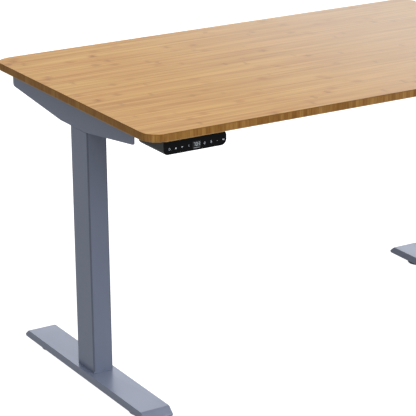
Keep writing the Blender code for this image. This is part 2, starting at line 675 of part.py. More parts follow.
def main():
    clear_scene()
    make_desktop()
    for side, label in ((-1, "left"), (1, "right")):
        make_side_bracket(side, label)
        make_head_bracket(side, label)
        make_columns(side, label)
        make_guides(side, label)
        make_drive(side, label)
        make_gearbox_and_motor(side, label)
        make_foot(side, label)
        for sign, row in ((-1, "front"), (1, "rear")):
            make_glide(side, label, sign, row)
    make_rails("front", -1)
    make_rails("rear", 1)
    box_low = make_control_box()
    make_keypad()
    make_leads(box_low)


main()
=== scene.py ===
"""Looks for the height adjustable standing desk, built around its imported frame.

Metres, +Z up, origin on the floor under the middle of the desktop, -Y towards the sitter.
"""

import json
import math

import bmesh
import bpy
from mathutils import Matrix, Vector


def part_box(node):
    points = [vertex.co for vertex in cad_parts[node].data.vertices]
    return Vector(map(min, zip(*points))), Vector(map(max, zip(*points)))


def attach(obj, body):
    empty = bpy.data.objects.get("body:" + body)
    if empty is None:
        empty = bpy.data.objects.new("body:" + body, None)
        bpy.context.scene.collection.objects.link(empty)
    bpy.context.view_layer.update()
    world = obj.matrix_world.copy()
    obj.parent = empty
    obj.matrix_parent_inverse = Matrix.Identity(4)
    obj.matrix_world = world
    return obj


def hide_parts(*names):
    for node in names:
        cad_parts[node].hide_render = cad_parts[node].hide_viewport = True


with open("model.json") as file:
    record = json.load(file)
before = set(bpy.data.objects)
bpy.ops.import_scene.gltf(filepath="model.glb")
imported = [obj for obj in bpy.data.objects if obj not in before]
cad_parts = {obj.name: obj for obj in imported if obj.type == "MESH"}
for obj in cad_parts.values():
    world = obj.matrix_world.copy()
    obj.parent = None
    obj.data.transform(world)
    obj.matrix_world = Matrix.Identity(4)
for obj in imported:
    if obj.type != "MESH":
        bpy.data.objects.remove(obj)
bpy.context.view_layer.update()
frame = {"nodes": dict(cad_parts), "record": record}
NODES = frame["nodes"]
SIDES = (("left", -1), ("right", 1))
ROWS = ("front", "rear")


# ---- node trees --------------------------------------------------------------------------
class Paint:
    """A principled material with short calls for its procedural nodes."""

    def __init__(self, name, **constants):
        self.material = bpy.data.materials.new(name)
        self.material.use_nodes = True
        self.tree = self.material.node_tree
        self.shader = self.tree.nodes["Principled BSDF"]
        for socket, value in constants.items():
            self.shader.inputs[socket.replace("_", " ")].default_value = value
        self.place = self.add("TexCoord").outputs["Object"]

    def add(self, kind, inputs=(), **settings):
        node = self.tree.nodes.new("ShaderNode" + kind)
        for key, value in settings.items():
            setattr(node, key, value)
        for key, value in dict(inputs).items():
            if isinstance(value, bpy.types.NodeSocket):
                self.tree.links.new(value, node.inputs[key])
            else:
                node.inputs[key].default_value = value
        return node

    def math(self, operation, *values, clamp=False):
        pairs = dict(enumerate(values))
        return self.add("Math", pairs, operation=operation, use_clamp=clamp).outputs[0]

    def swing(self, value, weight, middle=0.5):
        """How far a value is from its middle, times a weight."""
        return self.math("MULTIPLY", self.math("SUBTRACT", value, middle), weight)

    def noise(self, scale, detail=2.0, rough=0.5, place=None):
        """Noise with a size per axis: scale is how many features to the metre on each axis."""
        mapped = self.add("Mapping", {"Vector": place or self.place, "Scale": scale}).outputs[0]
        inputs = {"Vector": mapped, "Scale": 1.0, "Detail": detail, "Roughness": rough}
        return self.add("TexNoise", inputs).outputs[0]

    def fit(self, value, low, high, to_low=0.0, to_high=1.0, smooth=False):
        inputs = {"Value": value, "From Min": low, "From Max": high, "To Min": to_low,
                  "To Max": to_high}
        kind = "SMOOTHSTEP" if smooth else "LINEAR"
        return self.add("MapRange", inputs, interpolation_type=kind).outputs[0]

    def mix(self, factor, first, second, blend="MIX"):
        def colour(value):
            return value if isinstance(value, bpy.types.NodeSocket) else (*value, 1.0)

        node = self.add("Mix", data_type="RGBA", blend_type=blend)
        for index, value in ((0, factor), (6, colour(first)), (7, colour(second))):
            if isinstance(value, bpy.types.NodeSocket):
                self.tree.links.new(value, node.inputs[index])
            else:
                node.inputs[index].default_value = value
        return node.outputs[2]

    def put(self, socket, value):
        self.tree.links.new(value, self.shader.inputs[socket])

    def bump(self, height, distance, strength=1.0):
        inputs = {"Height": height, "Distance": distance, "Strength": strength}
        self.put("Normal", self.add("Bump", inputs).outputs[0])


STRIP_W = 0.0197  # of the laminated bamboo strips
KNUCKLE_PITCH = 0.255  # from one knuckle of a strip to the next
DARK_FACE, PALE_FACE = (0.418, 0.192, 0.043), (0.596, 0.352, 0.108)
WARM_FACE = (0.550, 0.262, 0.078)
HALO, RING, SEAM = (0.380, 0.152, 0.034), (0.225, 0.092, 0.024), (0.30, 0.150, 0.060)
DARK_END, PALE_END, END_SEAM = (0.245, 0.112, 0.024), (0.46, 0.265, 0.085), (0.15, 0.070, 0.020)
FRONT_TINT, SIDE_TINT = (0.90, 0.82, 0.70), (0.93, 0.86, 0.80)
# painted shade in a dark band under the top arris, and a painted highlight of floor bounce along
# the bottom arris
TOP_ARRIS_SHADE, LOW_ARRIS_HIGHLIGHT = (0.20, 0.095, 0.030), (0.50, 0.34, 0.15)


def paint_bamboo():
    """Laminated bamboo board: strips along X on both faces, cut strip ends around the edge."""
    m = Paint("bamboo_board", Specular_IOR_Level=0.12, Sheen_Roughness=0.4)
    axes = m.add("SeparateXYZ", {"Vector": m.place}).outputs
    along, across, height = axes[0], axes[1], axes[2]

    def strips(side, width, seed):
        """Position in strips of one layer: strip number, place within it, three random numbers."""
        spot = m.math("ADD", m.math("DIVIDE", side, width), seed)
        number = m.math("FLOOR", spot)
        within = m.math("SUBTRACT", spot, number)
        random = m.add("TexWhiteNoise", {"W": number}, noise_dimensions="1D").outputs[1]
        rgb = m.add("SeparateColor", {"Color": random}).outputs
        return number, within, rgb

    along_seed, across_seed = 11.23, 40.37
    number, within, rgb = strips(across, STRIP_W, across_seed)
    shifted = m.math("ADD", along, m.math("MULTIPLY", rgb[0], 9.0))
    cell = m.add("CombineXYZ", {"X": shifted, "Y": across, "Z": height}).outputs[0]
    by_strip = m.add("CombineXYZ", {"X": shifted, "Y": number, "Z": 0.0}).outputs[0]

    drift = m.noise((1.9, 0.9, 1.0), 2.0, place=by_strip)
    fibre = m.noise((8.0, 820.0, 500.0), 3.0, 0.6, place=cell)
    streak = m.noise((2.6, 240.0, 120.0), 3.0, 0.6, place=cell)
    band = m.noise((4.5, 80.0, 60.0), 2.0, 0.5, place=cell)
    tone = 0.5
    for value, weight in ((rgb[1], 0.20), (drift, 0.80), (fibre, 0.60), (streak, 1.70),
                          (band, 1.60)):
        tone = m.math("ADD", tone, m.swing(value, weight))
    tone = m.math("ADD", tone, 0.0, clamp=True)
    face = m.mix(tone, DARK_FACE, PALE_FACE)
    face = m.mix(m.math("MULTIPLY", rgb[2], 0.22), face, WARM_FACE)

    place = m.math("ADD", m.math("DIVIDE", shifted, KNUCKLE_PITCH), rgb[2])
    node = m.math("FLOOR", place)
    pair = m.add("CombineXYZ", {"X": node, "Y": number, "Z": 3.0}).outputs[0]
    jitter = m.add("TexWhiteNoise", {"Vector": pair}, noise_dimensions="3D").outputs
    jit = m.add("SeparateColor", {"Color": jitter[1]}).outputs
    centre = m.fit(jit[0], 0.0, 1.0, 0.25, 0.75)
    away = m.math("ABSOLUTE", m.math("SUBTRACT", m.math("SUBTRACT", place, node), centre))
    away = m.math("MULTIPLY", away, KNUCKLE_PITCH)
    waver = m.noise((55.0, 230.0, 60.0), 2.0, 0.6, place=cell)
    away = m.math("ADD", away, m.swing(waver, 0.030))
    halo = m.fit(away, 0.020, 0.001, 0.0, 1.0, smooth=True)
    ring = m.fit(away, 0.0070, 0.0005, 0.0, 1.0, smooth=True)
    face = m.mix(m.math("MULTIPLY", halo, m.fit(jit[1], 0.45, 1.0, 0.0, 0.60)), face, HALO)
    face = m.mix(m.math("MULTIPLY", ring, m.fit(jit[2], 0.50, 1.0, 0.0, 0.50)), face, RING)
    joint = m.math("ABSOLUTE", m.math("SUBTRACT", within, 0.5))
    seam = m.fit(joint, 0.470, 0.497, 0.0, 0.22, smooth=True)
    face = m.mix(seam, face, SEAM)

    def end_grain(side, width, seed, contrast):
        """Strips seen end on: one tone a strip, speckled by cut fibre bundles."""
        _, inside, colour = strips(side, width, seed)
        speckle = m.noise((1500.0, 1500.0, 1500.0), 1.0, 0.5)
        bands = m.noise((260.0, 260.0, 30.0), 2.0, 0.6)
        shade = m.swing(m.math("POWER", colour[0], 1.6), contrast, 0.4)
        shade = m.math("ADD", shade, 0.26)
        shade = m.math("ADD", shade, m.math("MULTIPLY", speckle, 0.20))
        shade = m.math("ADD", shade, m.swing(bands, 1.2))
        gap = m.math("ABSOLUTE", m.math("SUBTRACT", inside, 0.5))
        line = m.fit(gap, 0.44, 0.495, 0.0, 0.7 * contrast, smooth=True)
        ends = m.mix(m.math("ADD", shade, 0.05, clamp=True), DARK_END, PALE_END)
        return m.mix(line, ends, END_SEAM)

    normal = m.add("SeparateXYZ", {"Vector": m.add("NewGeometry").outputs["Normal"]}).outputs
    on_side = m.fit(m.math("ABSOLUTE", normal[0]), 0.6, 0.8, smooth=True)
    edge = m.mix(on_side, end_grain(along, STRIP_W / 2, along_seed, 0.65),
                 end_grain(across, STRIP_W, across_seed, 0.35))
    edge = m.mix(1.0, edge, m.mix(on_side, FRONT_TINT, SIDE_TINT), blend="MULTIPLY")
    # painted shade: the top 4 mm of the edge darkened towards the top arris
    top_arris_shade = m.fit(height, TOP_Z - 0.0042, TOP_Z - 0.0008, 0.0, 0.55, smooth=True)
    edge = m.mix(top_arris_shade, edge, TOP_ARRIS_SHADE)
    # painted highlight: a pale line along the bottom arris, standing in for light bounced up from
    # the floor
    low_arris_highlight = m.fit(height, UNDER_Z + 0.0022, UNDER_Z + 0.0003, 0.0, 0.55, smooth=True)
    edge = m.mix(low_arris_highlight, edge, LOW_ARRIS_HIGHLIGHT)
    upright = m.fit(m.math("ABSOLUTE", normal[2]), 0.80, 0.45, smooth=True)
    m.put("Base Color", m.mix(upright, face, edge))
    # painted highlight: sheen weight grows towards +X, standing in for the reflection of the light
    # at the back right
    m.put("Sheen Weight", m.fit(along, -0.45, 0.50, 0.0, 1.0, smooth=True))

    rough = m.fit(fibre, 0.3, 0.7, 0.42, 0.54)
    m.put("Roughness", m.math("ADD", rough, m.math("MULTIPLY", upright, 0.12)))
    relief = m.math("ADD", m.math("MULTIPLY", fibre, 0.6), m.math("MULTIPLY", seam, -0.8))
    m.bump(relief, 0.00012, 0.35)
    return m.material


def paint_powder(name, base, tint, metallic=0.35, rough=0.34, shaded_corners=None):
    """Fine-textured powder coat: orange peel, faint mottling, and painted shade down a tube's
    corners when given.
    """
    m = Paint(name, Metallic=metallic, Coat_Weight=0.25, Coat_Roughness=0.22)
    mottle = m.noise((14.0, 14.0, 9.0), 3.0, 0.6)
    grain = m.noise((1900.0, 1900.0, 1900.0), 1.0, 0.5)
    peel = m.noise((420.0, 420.0, 420.0), 2.0, 0.5)
    colour = m.mix(m.fit(mottle, 0.3, 0.7), base, tint)
    colour = m.mix(m.fit(grain, 0.35, 0.75, 0.0, 0.16), colour, [min(1.0, 2.1 * c) for c in base])
    edge = m.fit(m.add("NewGeometry").outputs["Pointiness"], 0.512, 0.56, 0.0, 0.35, smooth=True)
    colour = m.mix(edge, colour, [min(1.0, 1.7 * c) for c in tint])
    # painted shade: a dark line down each of the four vertical corners of the column tube
    if shaded_corners:
        centre, half_x, half_y = shaded_corners
        axes = m.add("SeparateXYZ", {"Vector": m.place}).outputs
        beside = m.math("SUBTRACT", m.math("ABSOLUTE", axes[0]), centre)
        beside = m.math("SUBTRACT", m.math("ABSOLUTE", beside), half_x)
        before = m.math("SUBTRACT", m.math("ABSOLUTE", axes[1]), half_y)
        away = m.math("ADD", m.math("ABSOLUTE", beside), m.math("ABSOLUTE", before))
        corner_shade = m.fit(away, 0.0040, 0.0022, 0.0, 0.6, smooth=True)
        colour = m.mix(corner_shade, colour, [0.35 * c for c in base])
    m.put("Base Color", colour)
    m.put("Roughness", m.math("ADD", m.fit(mottle, 0.3, 0.7, rough - 0.04, rough + 0.05),
                              m.math("MULTIPLY", grain, 0.06)))
    m.bump(m.math("ADD", peel, m.math("MULTIPLY", grain, 0.35)), 0.00010, 0.35)
    return m.material


def paint_steel(name, base=(0.56, 0.565, 0.58), rough=0.34, brush=(40.0, 900.0, 900.0),
                spangle=0.0):
    """Zinc-plated or turned steel: streaks along one axis, faint spangle, small stains."""
    m = Paint(name, Metallic=1.0)
    lines = m.noise(brush, 3.0, 0.6)
    cloud = m.noise((35.0, 35.0, 35.0), 3.0, 0.6)
    cells = m.add("TexVoronoi", {"Vector": m.place, "Scale": 160.0}).outputs["Color"]
    cell = m.add("SeparateColor", {"Color": cells}).outputs[0]
    colour = m.mix(m.fit(cloud, 0.3, 0.7), base, [0.86 * c for c in base])
    colour = m.mix(m.math("MULTIPLY", cell, spangle), colour, [1.3 * c for c in base])
    colour = m.mix(m.fit(lines, 0.35, 0.7, 0.0, 0.3), colour, [0.7 * c for c in base])
    m.put("Base Color", colour)
    m.put("Roughness", m.math("ADD", m.fit(lines, 0.3, 0.7, rough - 0.08, rough + 0.10),
                              m.math("MULTIPLY", cell, spangle)))
    m.bump(lines, 0.00004, 0.4)
    return m.material


def paint_moulded(name, base, rough, grain=1100.0, depth=0.00006, lighter=1.5, spec=0.5):
    """Moulded plastic or rubber: spark-eroded grain, faint flow marks and rubbed spots."""
    m = Paint(name)
    m.shader.inputs["Specular IOR Level"].default_value = spec
    fine = m.noise((grain, grain, grain), 2.0, 0.6)
    flow = m.noise((22.0, 60.0, 22.0), 3.0, 0.55)
    colour = m.mix(m.fit(flow, 0.35, 0.75), base, [lighter * c for c in base])
    colour = m.mix(m.fit(fine, 0.45, 0.8, 0.0, 0.4), colour, [lighter * 1.3 * c for c in base])
    m.put("Base Color", colour)
    m.put("Roughness", m.math("ADD", m.fit(flow, 0.3, 0.7, rough - 0.05, rough + 0.05),
                              m.math("MULTIPLY", fine, 0.08)))
    m.bump(fine, depth, 0.5)
    return m.material


def paint_glass():
    """Black glass of the keypad: clean and glossy, with a trace of smudging."""
    m = Paint("keypad_black_glass", Specular_IOR_Level=0.14)
    smudge = m.noise((90.0, 60.0, 140.0), 4.0, 0.6)
    m.put("Base Color", m.mix(m.fit(smudge, 0.4, 0.8), (0.0022, 0.0023, 0.0028),
                              (0.0040, 0.0042, 0.0050)))
    m.put("Roughness", m.fit(smudge, 0.35, 0.8, 0.05, 0.16))
    return m.material


def paint_circuit():
    """Green solder mask over copper tracks."""
    m = Paint("solder_mask", Roughness=0.35, Coat_Weight=0.3, Coat_Roughness=0.2)
    inputs = {"Vector": m.place, "Scale": 90.0, "Mortar Size": 0.03, "Brick Width": 1.3,
              "Row Height": 0.17}
    tracks = m.add("TexBrick", inputs).outputs["Fac"]
    patches = m.noise((55.0, 55.0, 55.0), 1.0)
    mask = m.mix(m.fit(patches, 0.42, 0.58), (0.006, 0.060, 0.022), (0.010, 0.095, 0.036))
    m.put("Base Color", m.mix(m.math("MULTIPLY", tracks, 0.7), mask, (0.10, 0.16, 0.05)))
    m.bump(tracks, 0.00005, 0.5)
    return m.material


def paint_glow(name, colour, strength):
    """Backlit print on the glass, a little uneven."""
    m = Paint(name, Roughness=0.3)
    m.shader.inputs["Emission Strength"].default_value = strength
    uneven = m.noise((400.0, 400.0, 400.0), 2.0)
    lit = m.mix(m.fit(uneven, 0.3, 0.7), [0.72 * c for c in colour], colour)
    m.put("Base Color", lit)
    m.put("Emission Color", lit)
    return m.material


TOP_LOW, TOP_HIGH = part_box("desktop")
TOP_Z, UNDER_Z = TOP_HIGH.z, TOP_LOW.z

PAINT_BASE, PAINT_TINT = (0.144, 0.165, 0.226), (0.164, 0.188, 0.254)
PAINT = {
    "bamboo": paint_bamboo(),
    "frame_paint": paint_powder("powder_coat", PAINT_BASE, PAINT_TINT),
    "steel": paint_steel("zinc_plated_steel", spangle=0.12),
    "screw_steel": paint_steel("ground_steel", rough=0.28, brush=(700.0, 700.0, 90.0)),
    "nylon": paint_moulded("slide_nylon", (0.055, 0.060, 0.070), 0.55),
    "black_plastic": paint_moulded("black_moulding", (0.012, 0.0125, 0.0135), 0.42),
    "keypad_shell": paint_moulded("keypad_moulding", (0.018, 0.0205, 0.0195), 0.34, spec=0.35),
    "gloss_black": paint_glass(),
    "rubber": paint_moulded("black_rubber", (0.020, 0.020, 0.021), 0.72, 500.0, 0.00012),
    "circuit": paint_circuit(),
    "brass": paint_steel("wheel_bronze", (0.62, 0.40, 0.16), 0.32, (600.0, 600.0, 60.0)),
    "bolt": paint_steel("zinc_black_bolts", (0.20, 0.20, 0.21), 0.36, (300.0, 300.0, 300.0)),
    "label": paint_moulded("blank_label", (0.42, 0.43, 0.44), 0.45, 600.0, 0.00002, 1.1),
    "window": paint_moulded("display_window", (0.0060, 0.0064, 0.0072), 0.30, 900.0, 0.00001),
    "glow": paint_glow("backlit_white", (0.50, 0.54, 0.58), 0.15),
    "glow_dim": paint_glow("backlit_dim", (0.30, 0.32, 0.34), 0.06),
    "glow_bright": paint_glow("backlit_bright", (0.66, 0.70, 0.74), 0.30),
}
# one coat a column tube, each with painted shade down its four vertical corners
for tube in ("outer", "middle", "inner"):
    tube_low, tube_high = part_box(f"{tube}_column_right")
    corner = ((tube_low.x + tube_high.x) / 2, (tube_high.x - tube_low.x) / 2,
              (tube_high.y - tube_low.y) / 2)
    PAINT[f"{tube}_paint"] = paint_powder(f"{tube}_column_coat", PAINT_BASE, PAINT_TINT,
                                          shaded_corners=corner)
SPECIAL_FINISH = (
    ("outer_column", "outer_paint"), ("middle_column", "middle_paint"),
    ("inner_column", "inner_paint"),
    ("lead_screw", "screw_steel"), ("hollow_screw", "screw_steel"), ("push_tube", "screw_steel"),
    ("worm_shaft", "screw_steel"), ("keypad_housing", "keypad_shell"),
)
for part in frame["record"]["subparts"]:
    finish = part["material_slot"]
    for prefix, special in SPECIAL_FINISH:
        if part["node"].startswith(prefix):
            finish = special
    NODES[part["node"]].data.materials.clear()
    NODES[part["node"]].data.materials.append(PAINT[finish])


# ---- mesh helpers ------------------------------------------------------------------------
def circle(radius, steps, centre=(0.0, 0.0)):
    step = 2 * math.pi / steps
    return [(centre[0] + radius * math.cos(step * i), centre[1] + radius * math.sin(step * i))
            for i in range(steps)]


def rounded_rect(width, height, radius, steps, centre=(0.0, 0.0)):
    points = []
    for quarter, (sx, sy) in enumerate(((1, 1), (-1, 1), (-1, -1), (1, -1))):
        corner = (centre[0] + sx * (width / 2 - radius), centre[1] + sy * (height / 2 - radius))
        for i in range(steps):
            angle = math.pi / 2 * (quarter + i / (steps - 1))
            points.append((corner[0] + radius * math.cos(angle),
                           corner[1] + radius * math.sin(angle)))
    return points


def loft(bm, loops, ring=False):
    """Join matching loops of points, with caps at the two ends or closed on itself."""
    rows = [[bm.verts.new(point) for point in loop] for loop in loops]
    pairs = list(zip(rows, rows[1:])) + ([(rows[-1], rows[0])] if ring else [])
    for low, high in pairs:
        for i, first in enumerate(low):
            j = (i + 1) % len(low)
            bm.faces.new((first, low[j], high[j], high[i]))
    if not ring:
        bm.faces.new(rows[0][::-1])
        bm.faces.new(rows[-1])


AXES = {"X": (Vector((1, 0, 0)), Vector((0, 1, 0)), Vector((0, 0, 1))),
        "Y": (Vector((0, 1, 0)), Vector((1, 0, 0)), Vector((0, 0, 1))),
        "Z": (Vector((0, 0, 1)), Vector((1, 0, 0)), Vector((0, 1, 0)))}


def extrude(bm, outline, start, end, axis="Z", origin=(0, 0, 0), chamfer=0.0):
    """A prism of an outline along an axis, with both rims chamfered by shrinking the outline."""
    along, across, up = AXES[axis] if isinstance(axis, str) else axis
    middle = sum((Vector(p) for p in outline), Vector((0, 0))) / len(outline)

    def loop(at, shrink):
        points = []
        for p in outline:
            away = Vector(p) - middle
            q = middle + away * (1 - shrink / max(away.length, 1e-9))
            points.append(Vector(origin) + along * at + across * q.x + up * q.y)
        return points

    sign = 1 if end > start else -1
    stops = [(start, 0.0), (end, 0.0)]
    if chamfer:
        stops = [(start, chamfer), (start + sign * chamfer, 0.0), (end - sign * chamfer, 0.0),
                 (end, chamfer)]
    loft(bm, [loop(at, shrink) for at, shrink in stops])


def turn(bm, profile, centre, axis="Z", steps=32, ring=False):
    """A solid of revolution from (radius, distance along axis) pairs."""
    along, across, up = AXES[axis]
    loops = [[Vector(centre) + along * at + across * a + up * b
              for a, b in circle(radius, steps)] for radius, at in profile]
    loft(bm, loops, ring)


def add_piece(name, bm, finish, body, replaced=()):
    """Finish a mesh, paint it and make it ride its CAD body."""
    bmesh.ops.recalc_face_normals(bm, faces=bm.faces)
    mesh = bpy.data.meshes.new(name)
    bm.to_mesh(mesh)
    bm.free()
    mesh.shade_smooth()
    mesh.set_sharp_from_angle(angle=math.radians(32))
    mesh.materials.append(PAINT[finish])
    piece = bpy.data.objects.new(name, mesh)
    bpy.context.scene.collection.objects.link(piece)
    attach(piece, body)
    if replaced:
        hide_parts(*replaced)
    return piece


def screw_head(bm, x, y, face, radius=0.0042, height=0.0026, socket=0.0019):
    """A button head under a face that looks down, with a six-sided driver socket."""
    dome = [(radius - 0.0002, 0.0), (radius, -0.0006), (0.93 * radius, -0.6 * height),
            (0.74 * radius, -0.9 * height), (0.60 * radius, -height), (socket, -height)]
    rings = [circle(r, 24, (x, y)) for r, _ in dome]
    levels = [face + at for _, at in dome]
    hexagon = []
    for i in range(24):
        corner, share = divmod(i, 4)
        here, after = circle(socket, 6)[corner], circle(socket, 6)[(corner + 1) % 6]
        hexagon.append((x + here[0] + (after[0] - here[0]) * share / 4,
                        y + here[1] + (after[1] - here[1]) * share / 4))
    rings[-1] = hexagon
    rings.append(hexagon)
    levels.append(face - 0.4 * height)
    loft(bm, [[(a, b, z) for a, b in ring] for ring, z in zip(rings, levels)])


# ---- keypad icons ------------------------------------------------------------------------
GLASS_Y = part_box("keypad_glass")[0].y
ICON_Z, ICON_H, ICON_W, ICON_STROKE = 0.6594, 0.0042, 0.0026, 0.0008
PRINT_NEAR, PRINT_FAR = GLASS_Y - 0.00012, GLASS_Y - 0.00002
DIGIT_GAP = 0.12  # share of each stroke left clear at its two ends
RING_X, UP_X, DOWN_X, DOT_X = -0.5594, -0.5440, -0.5288, -0.4431
KEY_X = {"1": -0.5139, "2": -0.4736, "3": -0.4581, "4": -0.4278}
READING, READING_X, READING_PITCH, READING_Z = "703", -0.4990, 0.0058, 0.6606
WINDOW_AT = (-0.4934, 0.6590)


def bar(bm, x0, z0, x1, z1, width):
    """A flat stroke on the glass from one point to another."""
    first, last = Vector((x0, z0)), Vector((x1, z1))
    side = (last - first).normalized().orthogonal() * width / 2
    outline = [first - side, last - side, last + side, first + side]
    extrude(bm, outline, PRINT_NEAR, PRINT_FAR, "Y")


SEGMENTS = {  # strokes of a seven-segment digit, in half widths and half heights
    "a": (-1, 1, 1, 1), "b": (1, 1, 1, 0), "c": (1, 0, 1, -1), "d": (-1, -1, 1, -1),
    "e": (-1, 0, -1, -1), "f": (-1, 1, -1, 0), "g": (-1, 0, 1, 0),
}
DIGITS = {"0": "abcdef", "1": "bc", "2": "abged", "3": "abgcd", "4": "fgbc", "7": "abc"}


def digit(bm, value, x, z, width, height, stroke):
    for segment in DIGITS[value]:
        ax, az, bx, bz = SEGMENTS[segment]
        mid_x, mid_z = (ax + bx) / 2, (az + bz) / 2
        ax, az, bx, bz = [mid + (end - mid) * (1 - DIGIT_GAP) for mid, end in
                          ((mid_x, ax), (mid_z, az), (mid_x, bx), (mid_z, bz))]
        bar(bm, x + ax * width / 2, z + az * height / 2, x + bx * width / 2,
            z + bz * height / 2, stroke)


def make_icons():
    """Generic marks: a ring, two arrows and digits by the display, which shows a number."""
    lit = bmesh.new()
    ring_at = (RING_X, ICON_Z)
    outer, inner = circle(0.0023, 32, ring_at), circle(0.0016, 32, ring_at)
    loft(lit, [[(a, y, b) for a, b in loop] for y, loop in (
        (PRINT_FAR, inner), (PRINT_FAR, outer), (PRINT_NEAR, outer), (PRINT_NEAR, inner),
    )], ring=True)
    for x, way in ((UP_X, 1), (DOWN_X, -1)):
        arrow = [(x - 0.0022, ICON_Z - way * 0.0016), (x + 0.0022, ICON_Z - way * 0.0016),
                 (x, ICON_Z + way * 0.0022)]
        extrude(lit, arrow, PRINT_NEAR, PRINT_FAR, "Y")
    for value in "123":
        digit(lit, value, KEY_X[value], ICON_Z, ICON_W, ICON_H, ICON_STROKE)
    add_piece("keypad_icons", lit, "glow", "upper")

    bright = bmesh.new()
    digit(bright, "4", KEY_X["4"], ICON_Z, 0.0030, ICON_H, 0.0010)
    add_piece("keypad_active_mark", bright, "glow_bright", "upper")

    shown = bmesh.new()
    for place, value in enumerate(READING):
        x = READING_X + place * READING_PITCH
        digit(shown, value, x, READING_Z, 0.0036, 0.0070, 0.0010)
    add_piece("keypad_display", shown, "glow", "upper")

    faint = bmesh.new()
    extrude(faint, circle(0.0010, 20, (DOT_X, ICON_Z)), PRINT_NEAR, PRINT_FAR, "Y")
    bar(faint, -0.5010, 0.6527, -0.4858, 0.6527, 0.0012)
    add_piece("keypad_faint_marks", faint, "glow_dim", "upper")

    window = bmesh.new()
    pane = rounded_rect(0.0200, 0.0170, 0.0015, 5, WINDOW_AT)
    extrude(window, pane, GLASS_Y - 0.00001, GLASS_Y + 0.0004, "Y")
    add_piece("keypad_window", window, "window", "upper")

    screw = bmesh.new()
    head = [(0.0021, 0.0004), (0.0021, -0.00015), (0.0017, -0.0002), (0.0011, 0.0001)]
    turn(screw, head, (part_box("keypad_housing")[0].x, -0.3373, 0.6607), "X", 24)
    add_piece("keypad_side_screw", screw, "black_plastic", "upper")


# ---- fixings -----------------------------------------------------------------------------
SEAT = 0.0001  # from a screw head to the sheet it holds
SHEET_T = 0.0025  # of the brackets and the feet
FLANGE_X = 0.5865  # middle of the side bracket's flange
RAIL_SCREWS = (0.245, 0.455)
GLIDE_Y = 0.220


def make_fixings():
    wood = bmesh.new()
    for label, side in SIDES:
        low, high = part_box(f"side_bracket_{label}")
        for y in (low.y + 0.030, high.y - 0.030):
            screw_head(wood, side * FLANGE_X, y, high.z - SHEET_T - SEAT)
        rail_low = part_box(f"front_rail_{label}")[0].z
        for row in ROWS:
            low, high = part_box(f"{row}_rail_{label}")
            for reach in RAIL_SCREWS:
                screw_head(wood, side * reach, (low.y + high.y) / 2, rail_low - SEAT)
    base_low, base_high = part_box("control_box_base")
    for x in (-0.129, 0.129):
        for y in (base_low.y + 0.010, base_high.y - 0.010):
            screw_head(wood, x, y, base_low.z - SEAT)
    add_piece("wood_screws", wood, "bolt", "upper")

    for label, side in SIDES:
        machine = bmesh.new()
        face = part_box(f"head_bracket_{label}")[0].z - SEAT
        for y in (-0.030, 0.030):
            screw_head(machine, side * 0.512, y, face, 0.0050, 0.0030, 0.0024)
        add_piece(f"gearbox_screws_{label}", machine, "bolt", "upper")

        bolts = bmesh.new()
        foot_low, foot_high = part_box(f"foot_{label}")
        x = (foot_low.x + foot_high.x) / 2
        washer_t = 0.0012
        for dx in (-0.014, 0.014):
            for y in (-0.026, 0.026):
                at = (x + dx, y, foot_high.z - SHEET_T - SEAT)
                washer = [(0.0075, 0.0), (0.0075, -washer_t), (0.0040, -washer_t)]
                turn(bolts, washer, at)
                screw_head(bolts, x + dx, y, at[2] - washer_t, 0.0058, 0.0045, 0.0027)
        for y in (-GLIDE_Y, GLIDE_Y):
            nut, hole = circle(0.0072, 6, (x, y)), circle(0.0045, 6, (x, y))
            z0, z1 = foot_low.z + 0.0028, foot_low.z + 0.0088
            loops = ((z0, hole), (z0, nut), (z1, nut), (z1, hole))
            loft(bolts, [[(a, b, z) for a, b in loop] for z, loop in loops], ring=True)
        add_piece(f"foot_fixings_{label}", bolts, "bolt", f"base_{label}")


def make_glides():
    """Finer glides: a rounded, finely ribbed rim and a tread of rings on the sole."""
    top = 0.0097
    for label, _ in SIDES:
        for row in ROWS:
            name = f"glide_{row}_{label}"
            low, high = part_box(name)
            radius = (high.x - low.x) / 2
            centre = ((low.x + high.x) / 2, (low.y + high.y) / 2, 0.0)
            profile = [(0.0040, 0.0012), (0.0075, 0.0012), (0.0080, 0.0)]
            for ring in range(3):
                start = 0.0125 + 0.0045 * ring
                profile += [(start - 0.0010, 0.0), (start - 0.0005, 0.0009),
                            (start + 0.0005, 0.0009), (start + 0.0010, 0.0)]
            profile += [(radius - 0.0025, 0.0), (radius - 0.0010, 0.0006),
                        (radius - 0.0002, 0.0018), (radius, 0.0032), (radius, top - 0.0028),
                        (radius - 0.0006, top - 0.0022), (radius - 0.0006, top - 0.0017),
                        (radius, top - 0.0012),
                        (radius - 0.0006, top - 0.0003), (radius - 0.0018, top),
                        (0.0040, top), (0.0040, 0.0225), (0.0032, 0.0235)]
            bm = bmesh.new()
            turn(bm, profile, centre, steps=72)
            add_piece(f"glide_tread_{row}_{label}", bm, "rubber", name, (name,))


# ---- leads, connectors and control box ---------------------------------------------------
LEAD_DROP = 0.0045  # from the underside of the desktop to the middle of a clipped lead
MOTOR_LEAD_R, KEYPAD_LEAD_R = 0.0025, 0.0020
PLUG_LENGTH = 0.0150
MOTOR_LEAD_AT = (0.0207, 0.6515)  # y and z where each lead leaves its motor
KEYPAD_LEAD_Z = 0.664


